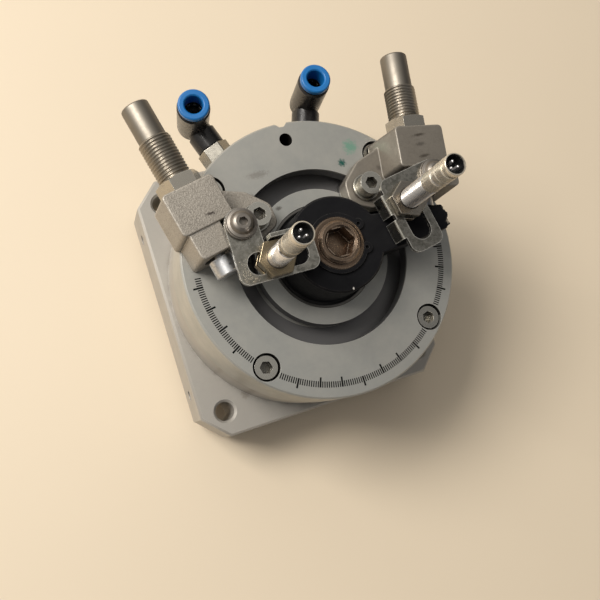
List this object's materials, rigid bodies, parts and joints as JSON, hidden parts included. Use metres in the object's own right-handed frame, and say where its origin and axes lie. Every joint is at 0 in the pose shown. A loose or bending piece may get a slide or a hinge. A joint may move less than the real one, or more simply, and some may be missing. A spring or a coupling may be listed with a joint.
{
  "type": "pneumatic rotary actuator",
  "caption": "Vane rotary actuator on a square flange, with an angle dial, a black stop lever between adjustable shock absorber stops, sensors on slotted brackets and push-in air elbows.",
  "frame": {"origin": "centre of the output flange's face, on the turning axis", "axes": "+Z along the turning axis towards the angle dial, +X to the stop lever at rest, +Y towards the air fittings"},
  "size_m": [0.1327, 0.1554, 0.156],
  "materials": {
    "anodised_aluminium": "satin clear anodised",
    "shaft_steel": "ground",
    "bearing_steel": "polished",
    "screw_steel": "zinc plated",
    "bracket_zinc": "mottled zinc plated sheet",
    "absorber_steel": "bright stainless with a fine thread",
    "sensor_nickel": "nickel plated",
    "fitting_nickel": "nickel plated brass",
    "stop_casting": "as cast, fine grain",
    "lever_black": "black oxide, worn edges",
    "lever_screw_yellow": "yellow passivated",
    "seal_rubber": "matt",
    "vane_aluminium": "milled",
    "fitting_black": "moulded",
    "release_blue": "moulded",
    "plug_black": "moulded",
    "port_seal_white": "moulded"
  },
  "bodies": {
    "housing": {"front_housing": "anodised_aluminium", "rear_cover": "anodised_aluminium", "cover_screws": "screw_steel", "cover_o_ring": "seal_rubber", "fixed_barrier": "vane_aluminium", "barrier_pins": "shaft_steel", "barrier_seal": "seal_rubber", "front_bearing_outer": "bearing_steel", "front_bearing_balls": "bearing_steel", "rear_bearing_outer": "bearing_steel", "rear_bearing_balls": "bearing_steel", "front_shaft_seal": "seal_rubber", "rear_shaft_seal": "seal_rubber", "left_fitting_stem": "fitting_nickel", "right_fitting_stem": "fitting_nickel", "left_port_seal": "port_seal_white", "right_port_seal": "port_seal_white"},
    "rotor": {"output_flange": "shaft_steel", "output_screw": "screw_steel", "output_shaft": "shaft_steel", "vane": "vane_aluminium", "vane_seal": "seal_rubber", "front_bearing_inner": "bearing_steel", "rear_bearing_inner": "bearing_steel", "stop_lever": "lever_black", "lever_screw": "lever_screw_yellow", "lever_clip": "lever_black"},
    "left_stop": {"left_stop_block": "stop_casting", "left_clamp_screw": "screw_steel", "left_clamp_washer": "screw_steel", "left_slot_nut": "shaft_steel", "left_absorber_body": "absorber_steel", "left_lock_nut": "absorber_steel", "left_sensor_bracket": "bracket_zinc", "left_bracket_screw": "bracket_zinc", "left_bracket_washer": "bracket_zinc", "left_sensor_barrel": "sensor_nickel", "left_sensor_insert": "plug_black", "left_sensor_nuts": "sensor_nickel"},
    "right_stop": {"right_stop_block": "stop_casting", "right_clamp_screw": "screw_steel", "right_clamp_washer": "screw_steel", "right_slot_nut": "shaft_steel", "right_absorber_body": "absorber_steel", "right_lock_nut": "absorber_steel", "right_sensor_bracket": "bracket_zinc", "right_bracket_screw": "bracket_zinc", "right_bracket_washer": "bracket_zinc", "right_sensor_barrel": "sensor_nickel", "right_sensor_insert": "plug_black", "right_sensor_nuts": "sensor_nickel"},
    "left_absorber_rod": {"left_absorber_plunger": "absorber_steel"},
    "right_absorber_rod": {"right_absorber_plunger": "absorber_steel"},
    "left_elbow": {"left_fitting_elbow": "fitting_black", "left_tube_seal": "seal_rubber"},
    "left_release": {"left_release_ring": "release_blue"},
    "right_elbow": {"right_fitting_elbow": "fitting_black", "right_tube_seal": "seal_rubber"},
    "right_release": {"right_release_ring": "release_blue"}
  },
  "joints": [
    {"name": "output_rotation", "type": "hinge", "parent": "housing", "child": "rotor", "pos_m": [0, 0, 0], "axis": [0, 0, 1], "range_deg": [-172.3, 0]},
    {"name": "left_stop_adjust", "type": "hinge", "parent": "housing", "child": "left_stop", "pos_m": [0, 0, 0], "axis": [0, 0, 1], "range_deg": [-25, 0]},
    {"name": "right_stop_adjust", "type": "hinge", "parent": "housing", "child": "right_stop", "pos_m": [0, 0, 0], "axis": [0, 0, 1], "range_deg": [0, 25]},
    {"name": "left_absorber_stroke", "type": "slide", "parent": "left_stop", "child": "left_absorber_rod", "axis": [-0.225, 0.9744, 0], "range_m": [0, 0.007], "stiffness_N_per_m": 900, "springref_m": -0.004},
    {"name": "right_absorber_stroke", "type": "slide", "parent": "right_stop", "child": "right_absorber_rod", "axis": [0.1564, 0.9877, 0], "range_m": [0, 0.007], "stiffness_N_per_m": 900, "springref_m": -0.004},
    {"name": "left_elbow_swivel", "type": "hinge", "parent": "housing", "child": "left_elbow", "pos_m": [-0.02896, 0.08363, 0.049], "axis": [-0.3272, 0.9449, 0], "continuous": true},
    {"name": "left_release_press", "type": "slide", "parent": "left_elbow", "child": "left_release", "axis": [0.1478, 0.0512, -0.9877], "range_m": [0, 0.0012], "stiffness_N_per_m": 1500, "springref_m": -0.001},
    {"name": "right_elbow_swivel", "type": "hinge", "parent": "housing", "child": "right_elbow", "pos_m": [0.03027, 0.08316, 0.049], "axis": [0.342, 0.9397, 0], "continuous": true},
    {"name": "right_release_press", "type": "slide", "parent": "right_elbow", "child": "right_release", "axis": [0.0901, -0.0328, -0.9954], "range_m": [0, 0.0012], "stiffness_N_per_m": 1500, "springref_m": -0.001}
  ]
}
